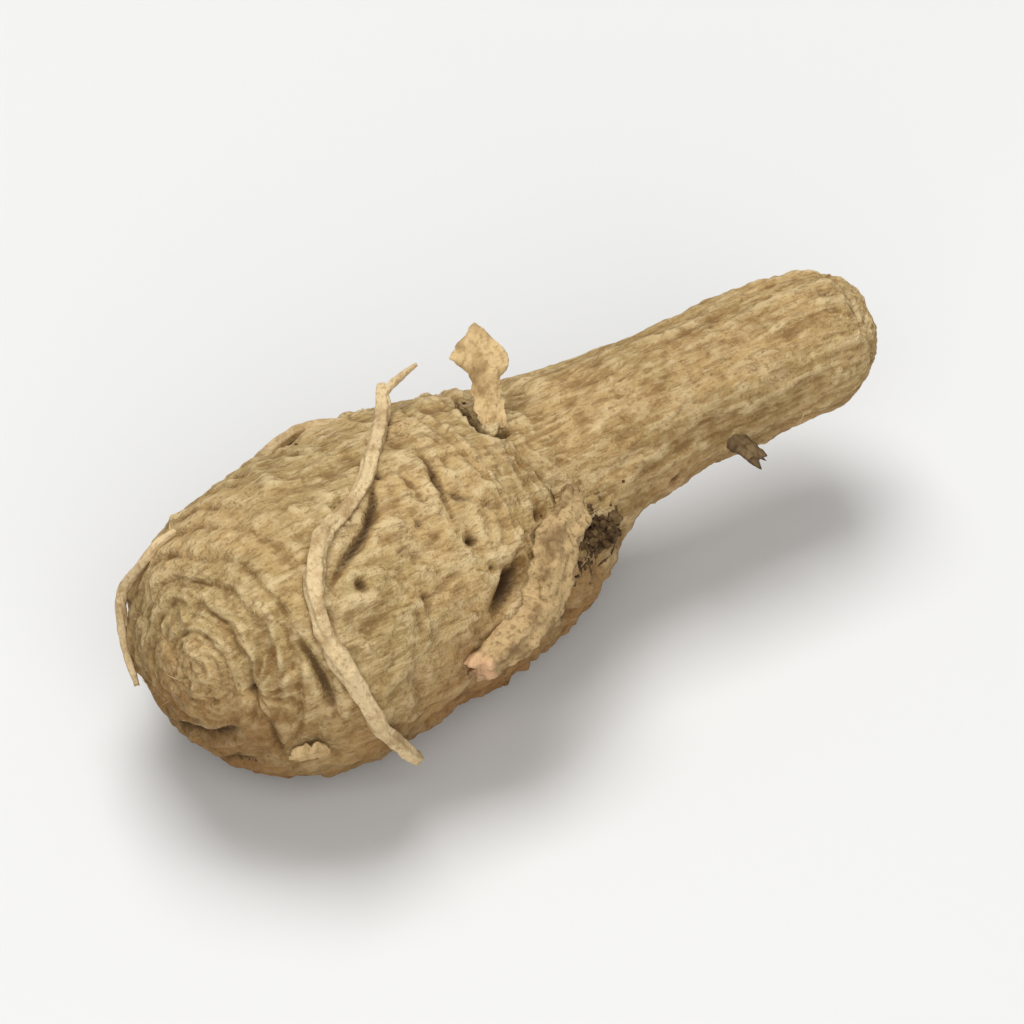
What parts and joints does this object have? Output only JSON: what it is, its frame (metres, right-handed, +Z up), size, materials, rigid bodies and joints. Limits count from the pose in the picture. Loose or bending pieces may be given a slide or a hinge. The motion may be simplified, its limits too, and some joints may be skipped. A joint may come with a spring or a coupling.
{
  "type": "black turmeric rhizome",
  "caption": "Dried black turmeric rhizome: ringed egg-shaped bulb running into one straight finger, with clinging roots, scale-leaf pieces and soil, lying on its belly.",
  "frame": {"origin": "middle of the footprint, on the surface that the rhizome lies on", "axes": "+X along the length from the ringed bud end to the finger tip, +Z up, +Y away from the side with the root stub"},
  "size_m": [0.047, 0.0224, 0.0189],
  "materials": {
    "rhizome_skin": "dry wrinkled tan skin, dusty and matt",
    "pale_root": "dry straw-coloured fibre, matt",
    "broken_root": "dark dry root bark with a pale pinkish broken end",
    "scale_leaf": "papery pale scale leaf, matt",
    "neck_soil": "dry dark crumbly soil, quite matt"
  },
  "bodies": {
    "root": {"rhizome": "rhizome_skin", "root_over_bulb": "pale_root", "fibre_beside_bud": "pale_root", "root_behind_bulb": "pale_root", "root_stub_by_neck": "broken_root", "stub_under_finger": "broken_root", "stub_on_back": "broken_root", "stub_on_back_of_bulb": "broken_root", "scale_leaf_in_crease": "scale_leaf", "scale_chip_under_bud": "scale_leaf", "soil_clump_by_neck": "neck_soil"}
  },
  "joints": []
}
